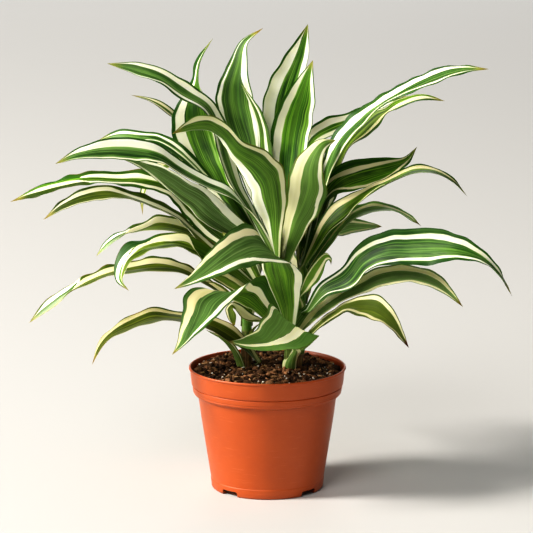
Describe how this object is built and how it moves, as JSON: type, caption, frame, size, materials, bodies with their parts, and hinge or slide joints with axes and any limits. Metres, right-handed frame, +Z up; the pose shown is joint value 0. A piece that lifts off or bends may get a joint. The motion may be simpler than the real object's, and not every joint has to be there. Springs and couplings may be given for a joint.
{
  "type": "potted dracaena",
  "caption": "House plant with arching green and cream striped leaves on short canes, in potting soil, in a small tapered terracotta-coloured plastic nursery pot.",
  "frame": {"origin": "middle of the pot's flat underside, on the surface that the pot stands on", "axes": "+Z up along the pot's axis, -Y towards the front of the plant, +X to the viewer's right"},
  "size_m": [0.3765, 0.2562, 0.3528],
  "materials": {
    "pot_plastic": "satin moulded terracotta-coloured plastic",
    "soil": "coarse dark peat with bark and perlite crumbs",
    "cane": "green to tan ringed cane",
    "leaf": "smooth waxy leaf, green centre and margins with cream bands"
  },
  "bodies": {
    "root": {"nursery_pot": "pot_plastic", "potting_soil": "soil", "cane_A": "cane", "cane_B": "cane", "cane_C": "cane", "leaf_01": "leaf", "leaf_02": "leaf", "leaf_03": "leaf", "leaf_04": "leaf", "leaf_05": "leaf", "leaf_06": "leaf", "leaf_07": "leaf", "leaf_08": "leaf", "leaf_09": "leaf", "leaf_10": "leaf", "leaf_11": "leaf", "leaf_12": "leaf", "leaf_13": "leaf", "leaf_14": "leaf", "leaf_15": "leaf", "leaf_16": "leaf", "leaf_17": "leaf", "leaf_18": "leaf", "leaf_19": "leaf", "leaf_20": "leaf", "leaf_21": "leaf", "leaf_22": "leaf", "leaf_23": "leaf", "leaf_24": "leaf", "leaf_25": "leaf", "leaf_26": "leaf", "leaf_27": "leaf", "leaf_28": "leaf", "leaf_29": "leaf", "leaf_30": "leaf", "leaf_31": "leaf", "leaf_32": "leaf", "leaf_33": "leaf", "leaf_34": "leaf", "leaf_35": "leaf", "leaf_36": "leaf", "leaf_37": "leaf", "leaf_38": "leaf", "leaf_39": "leaf", "leaf_40": "leaf", "leaf_41": "leaf", "leaf_42": "leaf", "leaf_43": "leaf", "leaf_44": "leaf", "leaf_45": "leaf", "leaf_46": "leaf", "leaf_47": "leaf", "leaf_48": "leaf", "leaf_49": "leaf"}
  },
  "joints": []
}
